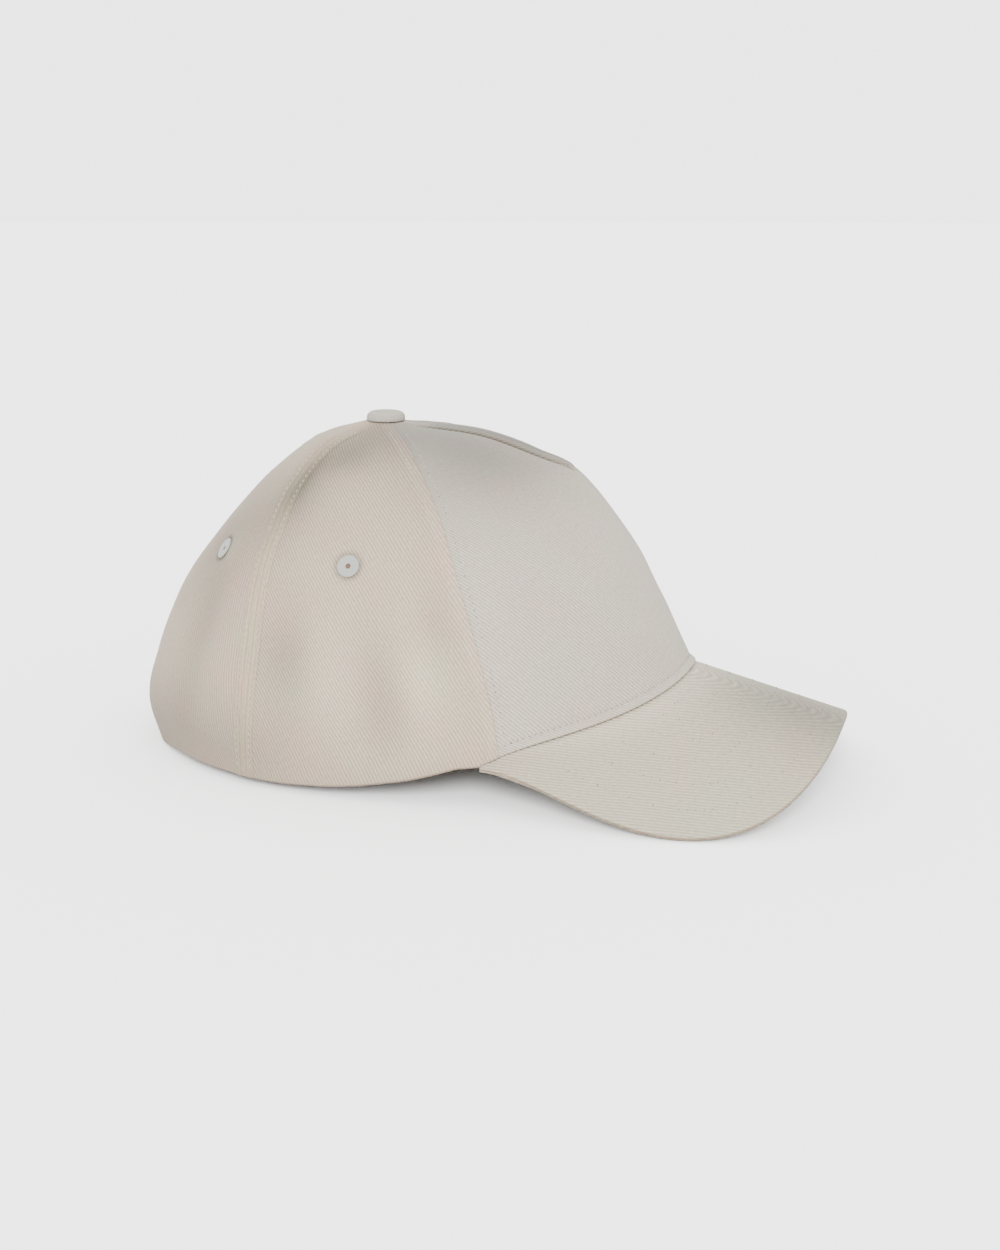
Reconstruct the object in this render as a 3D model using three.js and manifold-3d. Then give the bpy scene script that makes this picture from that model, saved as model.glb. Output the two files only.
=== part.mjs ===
// Five panel cap resting on a flat surface: a cloth crown in five panels with a button,
// eyelets and a sweatband, and an arched peak in two covers.
// Millimetres and degrees. +Z is up, the peak points along -Y, the wearer's left is +X.

import * as THREE from 'three';
import { mergeVertices } from 'three/addons/utils/BufferGeometryUtils.js';
import Module from 'manifold-3d';

const wasm = await Module();
wasm.setup();

// Angles are taken from the front, so the middle of the back is at half a turn
const halfTurn = 180;

// Crown
const crownHeight = 127.3; // resting surface to the crown's top
const rimFront = 109.2; // rim centre to the front of the rim
const rimBack = 106.7; // rim centre to the back of the rim
const rimHalfWidth = 81;
const buttonSetback = 14; // button behind the rim centre
const levelSquareness = 2.12; // 2 makes a level section an ellipse
const panelWall = 1.8; // outer twill and its backing
const seamGap = 0.3; // clearance between pieces that are sewn together

// Rim
const rimSideRise = 3; // how far the rim lifts off the surface at the sides
const cornerRun = 4; // angle past the peak's corner over which the rim keeps its line
const bandShow = 0.9; // sweatband showing below the panels
const bandBlend = 12; // angle behind the peak's corner over which the band settles to that
const bandHeight = 30;
const bandWall = 1.8;
const bandLean = 2.5; // how far the band's free top edge stands off the panels

// Front dart
const crestHeight = 5.2; // how far the dart's point pushes the panel out
const crestSpread = 22; // distance from the dart over which that fades
const dartRaise = 0.8; // seam allowance standing up under the dart
const dartHalfWidth = 4.5;
const dartEnd = 0.7; // share of the way up the wall where the dart stops

// Peak
const peakReach = 58.5; // front of the rim to the tip, in plan
const peakCorner = 60.5; // angle from the front where the peak leaves the rim
const peakDip = 13.9; // slope of its middle line
const peakArch = 35.5; // drop from the middle line to the sides of the rim
const archPower = 1.8;
const archOpening = 0.12; // how fast the arch flattens towards the tip
const cornerDrop = 7; // further drop that sets in towards the corners
const cornerPower = 4.5;
const sideHandle = 54.5; // outline's pull forward from the corner
const sideFlare = 14; // outline's pull sideways from the corner
const tipHandle = 99; // outline's pull sideways from the tip
const coverWall = 1.2;

// Button and eyelets
const buttonRadius = 7.5;
const buttonHeight = 4;
const stemRadius = 2;
const stemLength = 3;
const eyeletRadius = 4.4;
const eyeletBarrel = 2.6;
const eyeletHole = 1;
const eyeletRim = 0.6; // height of the stitched ring above the cloth
const eyeletPlaces = [
  { name: 'eyelet_side', angle: 82.1, along: 0.536 },
  { name: 'eyelet_back', angle: 130.8, along: 0.537 },
];

// Crown sections from the rim up: along is the share of the way up the wall, up the share of
// crownHeight, and the others are shares of the rim's reach forward, back and sideways
const crownSections = [
  { along: 0, up: 0, front: 1, back: 1, side: 1 },
  { along: 0.1, up: 0.125, front: 0.955, back: 1.06, side: 0.99 },
  { along: 0.22, up: 0.28, front: 0.895, back: 1, side: 1 },
  { along: 0.36, up: 0.45, front: 0.825, back: 0.868, side: 0.99 },
  { along: 0.5, up: 0.615, front: 0.735, back: 0.742, side: 0.92 },
  { along: 0.64, up: 0.75, front: 0.64, back: 0.595, side: 0.795 },
  { along: 0.78, up: 0.865, front: 0.505, back: 0.447, side: 0.63 },
  { along: 0.9, up: 0.953, front: 0.325, back: 0.285, side: 0.41 },
  { along: 1, up: 1, front: 0.08, back: 0.09, side: 0.09 },
];

// Push of the dart along the middle of the front panel, as shares of crestHeight
const crestProfile = [
  { along: 0, push: 0 },
  { along: 0.25, push: 0.02 },
  { along: 0.5, push: 0.38 },
  { along: 0.6, push: 0.62 },
  { along: 0.7, push: 1 },
  { along: 0.8, push: 0.5 },
  { along: 0.9, push: 0.32 },
  { along: 1, push: 0 },
];

// Lift of the rim off the surface behind the peak, as shares of rimSideRise
const rimLift = [
  { angle: 75, lift: 2.6 },
  { angle: 90, lift: 1 },
  { angle: 100, lift: 0.75 },
  { angle: 115, lift: 0.9 },
  { angle: 130, lift: 0.9 },
  { angle: 150, lift: 0 },
  { angle: halfTurn, lift: 0 },
];

// Seams as angles from the front at the rim and at the button, and how far they bow between
const frontSeam = { rim: 57, top: 63.5, bow: -2.8 };
const backSeam = { rim: 105.2, top: 118, bow: -5.2 };
const middleSeam = { rim: halfTurn, top: halfTurn, bow: 0 };

// Soft dents and swells: centre, half sizes and push as a share of rimHalfWidth
const dents = [
  { angle: 68.5, along: 0.22, wide: 5.5, tall: 0.13, push: 0.026 },
  { angle: 75, along: 0.2, wide: 3.5, tall: 0.14, push: -0.02 },
  { angle: 63.5, along: 0.36, wide: 3.5, tall: 0.1, push: -0.015 },
  { angle: 85, along: 0.24, wide: 5, tall: 0.16, push: 0.016 },
  { angle: 95.5, along: 0.3, wide: 7, tall: 0.12, push: -0.03 },
  { angle: 91.5, along: 0.87, wide: 14, tall: 0.06, push: -0.025 },
  { angle: 124.5, along: 0.3, wide: 7, tall: 0.2, push: -0.02 },
];

// Mesh fineness
const wallRows = 15;
const frontColumns = 8; // on each side of the dart
const sideColumns = 9;
const backColumns = 12;
const bandColumns = 48;
const peakColumns = 24;
const peakRows = 7;
const roundSides = 24;
const eyeletSides = 12;

const materials = {
  crownTwill: new THREE.MeshStandardMaterial({ color: 0xcbc4bc, roughness: 0.95, metalness: 0 }),
  peakTwill: new THREE.MeshStandardMaterial({ color: 0xcac5bd, roughness: 0.95, metalness: 0 }),
  buttonTwill: new THREE.MeshStandardMaterial({ color: 0xc6c3bd, roughness: 0.95, metalness: 0 }),
  eyeletThread: new THREE.MeshStandardMaterial({ color: 0xd8d6d0, roughness: 0.8, metalness: 0 }),
  bandCloth: new THREE.MeshStandardMaterial({ color: 0xd6d0c6, roughness: 0.95, metalness: 0 }),
};

const { degToRad, clamp, euclideanModulo, lerp, smoothstep } = THREE.MathUtils;

// Curve through the rows of a table that never overshoots them
function tableCurve(rows, along, column) {
  const steps = rows.slice(1).map((row, i) => row[along] - rows[i][along]);
  const slopes = rows.slice(1).map((row, i) => (row[column] - rows[i][column]) / steps[i]);
  const tangents = rows.map((row, i) => {
    const before = slopes[Math.max(i - 1, 0)];
    const after = slopes[Math.min(i, slopes.length - 1)];
    return before * after > 0 ? (2 * before * after) / (before + after) : 0;
  });
  return (place) => {
    const found = rows.findLastIndex((row) => row[along] <= place);
    const i = clamp(found, 0, steps.length - 1);
    const share = clamp((place - rows[i][along]) / steps[i], 0, 1);
    const square = share * share;
    const cube = square * share;
    return rows[i][column] * (2 * cube - 3 * square + 1)
      + rows[i + 1][column] * (3 * square - 2 * cube)
      + steps[i] * tangents[i] * (cube - 2 * square + share)
      + steps[i] * tangents[i + 1] * (cube - square);
  };
}

const upCurve = tableCurve(crownSections, 'along', 'up');
const frontCurve = tableCurve(crownSections, 'along', 'front');
const backCurve = tableCurve(crownSections, 'along', 'back');
const sideCurve = tableCurve(crownSections, 'along', 'side');
const crestCurve = tableCurve(crestProfile, 'along', 'push');

// Share of the way up the wall at a share of the crown's height
function alongAt(up) {
  let low = 0;
  let high = 1;
  for (let halving = 0; halving < 30; halving += 1) {
    const half = (low + high) / 2;
    if (upCurve(half) < up) {
      low = half;
    } else {
      high = half;
    }
  }
  return low;
}

const roundedPower = (value) => Math.sign(value) * Math.abs(value) ** (2 / levelSquareness);

// Angle from the front, the same on both sides
const turnFromFront = (angle) => Math.abs(euclideanModulo(angle + halfTurn, 2 * halfTurn) - halfTurn);

// Plan of a level section
function levelPoint(angle, along) {
  const turn = degToRad(angle);
  const ahead = roundedPower(Math.cos(turn));
  const aside = roundedPower(Math.sin(turn));
  const arm = ahead > 0
    ? frontCurve(along) * (rimFront + buttonSetback)
    : backCurve(along) * (rimBack - buttonSetback);
  return new THREE.Vector2(sideCurve(along) * rimHalfWidth * aside, buttonSetback - arm * ahead);
}

// How far the peak's corners lie behind the front of the rim
const cornerSetback = rimFront + levelPoint(peakCorner, 0).y;

// Peak's top surface without its rise above the resting surface
function peakShape(x, y) {
  const ahead = -y - rimFront;
  const spread = peakArch * (Math.abs(x) / rimHalfWidth) ** archPower;
  const arch = spread * Math.exp((-archOpening * ahead) / peakReach);
  const corner = cornerDrop * clamp(-ahead / cornerSetback, 0, 1) ** cornerPower;
  return -Math.tan(degToRad(peakDip)) * ahead - arch - corner;
}

function peakNormal(x, y) {
  const step = 0.5;
  const slopeX = (peakShape(x + step, y) - peakShape(x - step, y)) / (2 * step);
  const slopeY = (peakShape(x, y + step) - peakShape(x, y - step)) / (2 * step);
  return new THREE.Vector3(-slopeX, -slopeY, 1).normalize();
}

// Outer edge of the peak in plan, across going from 1 at the left corner to -1 at the right one
function peakEdge(across) {
  const corner = levelPoint(peakCorner, 0);
  const tip = -rimFront - peakReach;
  const outline = new THREE.CubicBezierCurve(
    corner,
    new THREE.Vector2(corner.x + sideFlare, corner.y - sideHandle),
    new THREE.Vector2(tipHandle, tip),
    new THREE.Vector2(0, tip),
  );
  const point = outline.getPoint(1 - Math.abs(across));
  return across < 0 ? point.setX(-point.x) : point;
}

// Inner edge of the peak in plan, tucked under the panels' wall
function peakRoot(across) {
  const angle = peakCorner * across;
  const along = levelPoint(angle + 1, 0).sub(levelPoint(angle - 1, 0)).normalize();
  const tuck = panelWall - seamGap;
  return levelPoint(angle, 0).add(new THREE.Vector2(-along.y, along.x).multiplyScalar(tuck));
}

const peakThickness = 2 * coverWall + seamGap;

// Point at a depth below the peak's top surface, with its edge square to that surface
function peakPlan(across, out, depth) {
  const edge = peakEdge(across);
  const normal = peakNormal(edge.x, edge.y);
  const squareness = smoothstep(1 - Math.abs(across), 0, 0.15);
  const inward = new THREE.Vector2(normal.x, normal.y).multiplyScalar(-depth * squareness);
  return peakRoot(across).lerp(edge.add(inward), out);
}

function peakDrop(plan, depth) {
  return peakShape(plan.x, plan.y) - depth / peakNormal(plan.x, plan.y).z;
}

// The peak's lowest edge touches the resting surface
const acrossSteps = Array.from({ length: peakColumns + 1 }, (_, i) => 1 - (2 * i) / peakColumns);
const peakRise = -Math.min(
  ...acrossSteps.map((across) => peakDrop(peakPlan(across, 1, peakThickness), peakThickness)),
);

const peakTop = (x, y) => peakRise + peakShape(x, y);

// Lower edge of the panels: on the peak in front, near the resting surface behind it
const runEnd = peakCorner + cornerRun;
const runPlan = levelPoint(runEnd, 0);
const runLift = peakTop(runPlan.x, runPlan.y) + seamGap - bandShow;
const liftCurve = tableCurve(
  [{ angle: runEnd, lift: runLift / rimSideRise }, ...rimLift],
  'angle',
  'lift',
);

function rimHeight(angle, x, y) {
  const turn = turnFromFront(angle);
  return turn < runEnd ? peakTop(x, y) + seamGap : liftCurve(turn) * rimSideRise + bandShow;
}

// Crown surface before the dart and the dents; along from 1 to 2 is the flat top in to the stem
function smoothPoint(angle, along) {
  const rim = levelPoint(angle, 0);
  const level = levelPoint(angle, Math.min(along, 1));
  const up = upCurve(Math.min(along, 1));
  const height = crownHeight * up + rimHeight(angle, rim.x, rim.y) * (1 - up);
  const centre = new THREE.Vector2(0, buttonSetback);
  const radius = level.distanceTo(centre);
  const tipShare = (stemRadius + seamGap) / radius;
  const plan = centre.lerp(level, lerp(1, tipShare, clamp(along - 1, 0, 1)));
  return new THREE.Vector3(plan.x, plan.y, height);
}

// Outward direction of a surface given by angle and share of the way up
function outward(surface, angle, along) {
  const turnStep = 0.5;
  const upStep = 0.01;
  const low = clamp(along - upStep, 0, 2);
  const high = clamp(along + upStep, 0, 2);
  const across = surface(angle + turnStep, along).sub(surface(angle - turnStep, along));
  const upward = surface(angle, high).sub(surface(angle, low));
  return across.cross(upward).normalize();
}

// The stitched rim keeps its line, so the dents fade out above it
function dentPush(angle, along) {
  const turn = turnFromFront(angle);
  const push = dents.reduce((sum, dent) => {
    const aside = (turn - dent.angle) / dent.wide;
    const above = (along - dent.along) / dent.tall;
    return sum + dent.push * Math.exp(-aside * aside - above * above);
  }, 0);
  return rimHalfWidth * push * smoothstep(along, 0, 0.08);
}

function crestPush(point, angle, along) {
  const facing = clamp(2 * Math.cos(degToRad(angle)), 0, 1);
  return crestHeight * crestCurve(along) * facing * Math.exp(-Math.abs(point.x) / crestSpread);
}

// Outer face of the crown
function crownPoint(angle, along) {
  const point = smoothPoint(angle, along);
  const push = dentPush(angle, along) + crestPush(point, angle, along);
  return point.addScaledVector(outward(smoothPoint, angle, along), push);
}

// Point a given depth inside a surface
function insideOf(surface, angle, along, depth) {
  return surface(angle, along).addScaledVector(outward(surface, angle, along), -depth);
}

// Raised seam allowance of the dart, standing on the panel's outer face
function dartLift(angle, along) {
  const above = smoothstep(along, dartEnd - 0.02, dartEnd + 0.05) * (1 - smoothstep(along, 0.9, 0.98));
  const near = Math.abs(crownPoint(angle, along).x) < dartHalfWidth * 0.75 ? 1 : 0;
  return dartRaise * above * near;
}

// Degrees that a length covers on the crown at a given place
function degreesFor(length, angle, along) {
  return length / crownPoint(angle + 0.5, along).distanceTo(crownPoint(angle - 0.5, along));
}

const seamAngle = (seam, along) => {
  const place = Math.min(along, 1);
  return lerp(seam.rim, seam.top, place) + seam.bow * 4 * place * (1 - place);
};

// Evenly spaced angles between two borders, drawn back by half the seam gap where asked
function spreadAngles(from, to, count) {
  return Array.from({ length: count + 1 }, (_, i) => lerp(from, to, i / count));
}

function panelAngles(fromSeam, toSeam, side, count, along) {
  const near = seamAngle(fromSeam, along);
  const far = seamAngle(toSeam, along);
  const from = near + degreesFor(seamGap / 2, near, along);
  const to = far - degreesFor(seamGap / 2, far, along);
  return side > 0 ? spreadAngles(from, to, count) : spreadAngles(-to, -from, count);
}

// Angles of the front panel, with columns on the dart's edges and its middle
function frontAngles(along) {
  const seam = seamAngle(frontSeam, along);
  const border = seam - degreesFor(seamGap / 2, seam, along);
  const dart = Math.min(degreesFor(dartHalfWidth, 0, along), border * 0.3);
  const outer = spreadAngles(dart, border, frontColumns);
  const middle = spreadAngles(-dart / 2, dart / 2, 2);
  return [...outer.map((angle) => -angle).reverse(), ...middle, ...outer];
}

// Closed solid between an outer and an inner grid of points
function wallGeometry(outer, inner, closed = false) {
  const rows = outer.length;
  const columns = outer[0].length;
  const spans = closed ? columns : columns - 1;
  const index = [];
  const quad = (a, b, c, d) => index.push(a, b, c, a, c, d);
  const outside = (row, column) => row * columns + (column % columns);
  const inside = (row, column) => rows * columns + outside(row, column);
  for (let column = 0; column < spans; column += 1) {
    const next = column + 1;
    for (let row = 0; row < rows - 1; row += 1) {
      quad(outside(row, column), outside(row, next), outside(row + 1, next), outside(row + 1, column));
      quad(inside(row, column), inside(row + 1, column), inside(row + 1, next), inside(row, next));
    }
    const top = rows - 1;
    quad(inside(0, column), inside(0, next), outside(0, next), outside(0, column));
    quad(outside(top, column), outside(top, next), inside(top, next), inside(top, column));
  }
  for (let row = 0; row < rows - 1 && !closed; row += 1) {
    const last = columns - 1;
    quad(outside(row, 0), outside(row + 1, 0), inside(row + 1, 0), inside(row, 0));
    quad(inside(row, last), inside(row + 1, last), outside(row + 1, last), outside(row, last));
  }
  const points = [...outer.flat(), ...inner.flat()];
  const geometry = new THREE.BufferGeometry().setFromPoints(points);
  geometry.setIndex(index);
  geometry.computeVertexNormals();
  return geometry;
}

// One panel of the crown from a function that gives the angles of each row
function panelGeometry(rowAngles) {
  const rows = [...Array.from({ length: wallRows + 1 }, (_, i) => i / wallRows), 2];
  const outer = [];
  const inner = [];
  for (const along of rows) {
    const angles = rowAngles(along);
    outer.push(angles.map((angle) => (
      insideOf(crownPoint, angle, along, -dartLift(angle, along)))));
    inner.push(angles.map((angle) => {
      const point = insideOf(crownPoint, angle, along, panelWall);
      return along > 0 ? point : point.setZ(rimHeight(angle, point.x, point.y));
    }));
  }
  return wallGeometry(outer, inner);
}

function toSolid(geometry) {
  const bare = geometry.clone();
  bare.deleteAttribute('normal');
  bare.deleteAttribute('uv');
  const merged = mergeVertices(bare);
  return new wasm.Manifold(new wasm.Mesh({
    numProp: 3,
    vertProperties: new Float32Array(merged.attributes.position.array),
    triVerts: new Uint32Array(merged.index.array),
  }));
}

function toGeometry(solid) {
  const mesh = solid.getMesh();
  const geometry = new THREE.BufferGeometry();
  geometry.setAttribute('position', new THREE.BufferAttribute(mesh.vertProperties, 3));
  geometry.setIndex(new THREE.BufferAttribute(mesh.triVerts, 1));
  geometry.computeVertexNormals();
  return geometry;
}

// Turns a shape made about +Y to stand square on the crown
function standOnCrown(geometry, angle, along) {
  const normal = outward(crownPoint, angle, along);
  const turn = new THREE.Quaternion().setFromUnitVectors(new THREE.Vector3(0, 1, 0), normal);
  const place = crownPoint(angle, along);
  return geometry.applyQuaternion(turn).translate(place.x, place.y, place.z);
}

function pierced(panel, angle, along) {
  const radius = eyeletBarrel + seamGap;
  const cutter = new THREE.CylinderGeometry(radius, radius, panelWall * 5, eyeletSides);
  return toGeometry(toSolid(panel).subtract(toSolid(standOnCrown(cutter, angle, along))));
}

function eyeletGeometry(angle, along) {
  const profile = [
    [eyeletHole, -panelWall],
    [eyeletBarrel, -panelWall],
    [eyeletBarrel, seamGap],
    [eyeletRadius, seamGap],
    [eyeletRadius, seamGap + eyeletRim / 3],
    [(eyeletRadius + eyeletBarrel) / 2, seamGap + eyeletRim],
    [eyeletHole * 1.5, seamGap + eyeletRim],
    [eyeletHole, seamGap],
    [eyeletHole, -panelWall],
  ];
  const points = profile.map(([radius, height]) => new THREE.Vector2(radius, height));
  return standOnCrown(new THREE.LatheGeometry(points, eyeletSides), angle, along);
}

// Domed button on a stem through the top of the crown
function buttonGeometry() {
  const profile = [
    [0, -stemLength],
    [stemRadius, -stemLength],
    [stemRadius, 0],
    [buttonRadius * 0.95, 0],
    [buttonRadius, buttonHeight * 0.3],
    [buttonRadius * 0.97, buttonHeight * 0.6],
    [buttonRadius * 0.85, buttonHeight * 0.85],
    [buttonRadius * 0.55, buttonHeight * 0.97],
    [0, buttonHeight],
  ];
  const points = profile.map(([radius, height]) => new THREE.Vector2(radius, height));
  const geometry = new THREE.LatheGeometry(points, roundSides);
  return geometry.rotateX(Math.PI / 2).translate(0, buttonSetback, crownHeight + seamGap);
}

// One cover of the peak between two depths below its top surface
function peakCover(from, to) {
  const layer = (depth) => Array.from({ length: peakRows + 1 }, (_, row) => (
    acrossSteps.map((across) => {
      const plan = peakPlan(across, row / peakRows, depth);
      return new THREE.Vector3(plan.x, plan.y, peakRise + peakDrop(plan, depth));
    })));
  return wallGeometry(layer(from), layer(to));
}

// Lower edge of the sweatband, level with the peak's underside in front
function bandEdge(angle, x, y) {
  const turn = turnFromFront(angle);
  const underPeak = seamGap + peakThickness / peakNormal(x, y).z;
  const settled = smoothstep(turn, peakCorner, peakCorner + bandBlend);
  return rimHeight(angle, x, y) - lerp(underPeak, bandShow, settled);
}

function sweatbandGeometry() {
  const angles = Array.from({ length: bandColumns }, (_, i) => (2 * halfTurn * i) / bandColumns);
  const top = alongAt(bandHeight / crownHeight);
  const face = (depth) => {
    const rows = [0, 0.5, 1].map((share) => (
      angles.map((angle) => insideOf(smoothPoint, angle, top * share, depth + bandLean * share))));
    const edge = rows[0].map((point, i) => (
      point.clone().setZ(bandEdge(angles[i], point.x, point.y))));
    return [edge, ...rows];
  };
  const outerDepth = panelWall + seamGap;
  return wallGeometry(face(outerDepth), face(outerDepth + bandWall), true);
}

const cap = new THREE.Group();

function addPiece(name, geometry, material) {
  const mesh = new THREE.Mesh(geometry, material);
  mesh.name = name;
  cap.add(mesh);
}

addPiece('front_panel', panelGeometry(frontAngles), materials.crownTwill);
for (const [sideName, side] of [['right', -1], ['left', 1]]) {
  const [sideEyelet, backEyelet] = eyeletPlaces;
  const sidePanel = panelGeometry((along) => (
    panelAngles(frontSeam, backSeam, side, sideColumns, along)));
  const backPanel = panelGeometry((along) => (
    panelAngles(backSeam, middleSeam, side, backColumns, along)));
  const sideCut = pierced(sidePanel, side * sideEyelet.angle, sideEyelet.along);
  const backCut = pierced(backPanel, side * backEyelet.angle, backEyelet.along);
  addPiece(`side_panel_${sideName}`, sideCut, materials.crownTwill);
  addPiece(`back_panel_${sideName}`, backCut, materials.crownTwill);
  for (const place of eyeletPlaces) {
    const eyelet = eyeletGeometry(side * place.angle, place.along);
    addPiece(`${place.name}_${sideName}`, eyelet, materials.eyeletThread);
  }
}
addPiece('top_button', buttonGeometry(), materials.buttonTwill);
addPiece('peak_upper_cover', peakCover(0, coverWall), materials.peakTwill);
addPiece('peak_under_cover', peakCover(coverWall + seamGap, peakThickness), materials.peakTwill);
addPiece('sweatband', sweatbandGeometry(), materials.bandCloth);

// Origin at the middle of the cap's plan, on the resting surface
const middle = new THREE.Box3().setFromObject(cap).getCenter(new THREE.Vector3());
cap.position.set(-middle.x, -middle.y, 0);

export default cap;
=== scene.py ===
import math

import bmesh
import bpy
import numpy as np
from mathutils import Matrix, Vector


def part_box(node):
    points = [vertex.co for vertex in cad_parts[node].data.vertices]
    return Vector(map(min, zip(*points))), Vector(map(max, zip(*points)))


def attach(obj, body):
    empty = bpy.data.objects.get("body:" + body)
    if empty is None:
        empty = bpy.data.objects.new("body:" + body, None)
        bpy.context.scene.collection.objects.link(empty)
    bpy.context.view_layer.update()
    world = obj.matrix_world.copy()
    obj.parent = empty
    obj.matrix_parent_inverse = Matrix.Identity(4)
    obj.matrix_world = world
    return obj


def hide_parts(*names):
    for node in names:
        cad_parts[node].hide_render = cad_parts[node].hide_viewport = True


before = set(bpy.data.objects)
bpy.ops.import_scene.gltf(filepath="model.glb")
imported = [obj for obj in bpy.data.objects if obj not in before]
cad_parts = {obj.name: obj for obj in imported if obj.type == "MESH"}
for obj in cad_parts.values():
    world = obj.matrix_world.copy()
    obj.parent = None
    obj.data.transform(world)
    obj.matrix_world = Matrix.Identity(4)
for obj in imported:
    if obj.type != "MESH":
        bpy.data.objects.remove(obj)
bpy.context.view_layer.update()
print("stage: frame loaded")

mm = 0.001  # every size below is in millimetres, as in the CAD part

# the crown's own shape, the same sizes as the solids have
crown = {
    "height": 127.3,
    "rimFront": 109.2,
    "rimBack": 106.7,
    "halfWidth": 81,
    "buttonSetback": 14,
    "stemRadius": 2.3,
    "squareness": 2.12,
    "wall": 1.8,
    "gap": 0.3,
    "wallLength": 165,
    "cell": 1.25,
}
# share of the way up the wall, share of the height, and shares of the reach forward, back and aside
crownSections = {
    "along": [0, 0.1, 0.22, 0.36, 0.5, 0.64, 0.78, 0.9, 1],
    "up": [0, 0.125, 0.28, 0.45, 0.615, 0.75, 0.865, 0.953, 1],
    "front": [1, 0.955, 0.895, 0.825, 0.735, 0.64, 0.505, 0.325, 0.08],
    "back": [1, 1.06, 1, 0.868, 0.742, 0.595, 0.447, 0.285, 0.09],
    "side": [1, 0.99, 1, 0.99, 0.92, 0.795, 0.63, 0.41, 0.09],
}
crest = {
    "height": 5.2,
    "spread": 22,
    "along": [0, 0.25, 0.5, 0.6, 0.7, 0.8, 0.9, 1],
    "push": [0, 0.02, 0.38, 0.62, 1, 0.5, 0.32, 0],
}
# lift is a share of sideRise at each angle from the front
rim = {
    "sideRise": 3,
    "cornerRun": 4,
    "bandShow": 0.9,
    "bandHeight": 30,
    "bandWall": 1.8,
    "bandLean": 2.5,
    "angle": [75, 90, 100, 115, 130, 150, 180],
    "lift": [2.6, 1, 0.75, 0.9, 0.9, 0, 0],
}
peak = {
    "reach": 58.5,
    "corner": 60.5,
    "dip": 13.9,
    "arch": 35.5,
    "archPower": 1.8,
    "archOpening": 0.12,
    "cornerDrop": 7,
    "cornerPower": 4.5,
    "cornerSquare": 0.15,
    "cornerPress": 0.38,
    "cornerPressed": 0.14,
    "sideHandle": 54.5,
    "sideFlare": 14,
    "tipHandle": 99,
    "cover": 1.2,
}
seams = {
    "front": {"rim": 57, "top": 63.5, "bow": -2.8},
    "back": {"rim": 105.2, "top": 118, "bow": -5.2},
    "middle": {"rim": 180, "top": 180, "bow": 0},
}
# angle from the front, share of the way up, half sizes in degrees and shares, push as share of halfWidth
dents = [
    (68.5, 0.22, 5.5, 0.13, 0.026),
    (75, 0.2, 3.5, 0.14, -0.02),
    (63.5, 0.36, 3.5, 0.1, -0.015),
    (85, 0.24, 5, 0.16, 0.016),
    (95.5, 0.3, 7, 0.12, -0.03),
    (91.5, 0.87, 14, 0.06, -0.025),
    (124.5, 0.3, 7, 0.2, -0.02),
    (124.5, 0.537, 5, 0.05, 0.01),
    (137, 0.537, 5, 0.05, -0.009),
]
# painted shade on the crown's top, high beside the back seam and low at the back, and painted light where the
# share is below 0; angle from the front, share of the way up, half sizes in degrees and shares, share of
# light lost
paintedShadePatches = [
    (28, 0.86, 42, 0.21, 0.52),
    (84, 0.96, 34, 0.1, 0.42),
    (106, 0.76, 14, 0.15, 0.4),
    (107.5, 0.78, 5, 0.1, 0.18),
    (132, 0.57, 26, 0.26, 0.4),
    (140, 0.04, 34, 0.16, 0.48),
    (103, 0.06, 18, 0.1, 0.18),
    (52, 0.2, 6, 0.25, -0.05),
    (78, 0.22, 2.5, 0.16, 0.07),
    (88, 0.27, 2.5, 0.15, -0.06),
]
buttonLow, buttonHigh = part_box("top_button")
rimCentreY = (buttonLow.y + buttonHigh.y) / 2 / mm - crown["buttonSetback"]


def smoothStep(value, low, high):
    share = np.clip((value - low) / (high - low), 0, 1)
    return share * share * (3 - 2 * share)


# soft hump, 1 at its place and near 0 from twice its width away
def hump(value, place, width):
    return np.exp(-(((value - place) / width) ** 2))


def unit(vectors):
    return vectors / np.linalg.norm(vectors, axis=-1, keepdims=True)


# smooth curve through a table's rows that never overshoots them
def tableCurve(places, values):
    places = np.array(places, float)
    values = np.array(values, float)
    steps = np.diff(places)
    slopes = np.diff(values) / steps
    before = np.concatenate([slopes[:1], slopes])
    after = np.concatenate([slopes, slopes[-1:]])
    same = before * after > 0
    tangents = np.where(same, 2 * before * after / np.where(same, before + after, 1), 0)

    def curve(place):
        place = np.asarray(place, float)
        i = np.clip(np.searchsorted(places, place, "right") - 1, 0, len(steps) - 1)
        share = np.clip((place - places[i]) / steps[i], 0, 1)
        square = share * share
        cube = square * share
        low = values[i] * (2 * cube - 3 * square + 1) + steps[i] * tangents[i] * (cube - 2 * square + share)
        return low + values[i + 1] * (3 * square - 2 * cube) + steps[i] * tangents[i + 1] * (cube - square)

    return curve


upCurve, frontCurve, backCurve, sideCurve = (
    tableCurve(crownSections["along"], crownSections[name]) for name in ("up", "front", "back", "side"))
crestCurve = tableCurve(crest["along"], crest["push"])


def roundedPower(value):
    return np.sign(value) * np.abs(value) ** (2 / crown["squareness"])


def turnFromFront(angle):
    return np.abs((angle + 180) % 360 - 180)


# plan of a level section, measured from the rim's centre
def levelPoint(angle, along):
    turn = np.radians(angle)
    ahead = roundedPower(np.cos(turn))
    aside = roundedPower(np.sin(turn))
    setback = crown["buttonSetback"]
    frontArm = frontCurve(along) * (crown["rimFront"] + setback)
    backArm = backCurve(along) * (crown["rimBack"] - setback)
    arm = np.where(ahead > 0, frontArm, backArm)
    return sideCurve(along) * crown["halfWidth"] * aside, setback - arm * ahead


cornerX, cornerY = (float(v) for v in levelPoint(peak["corner"], 0.0))


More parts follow.
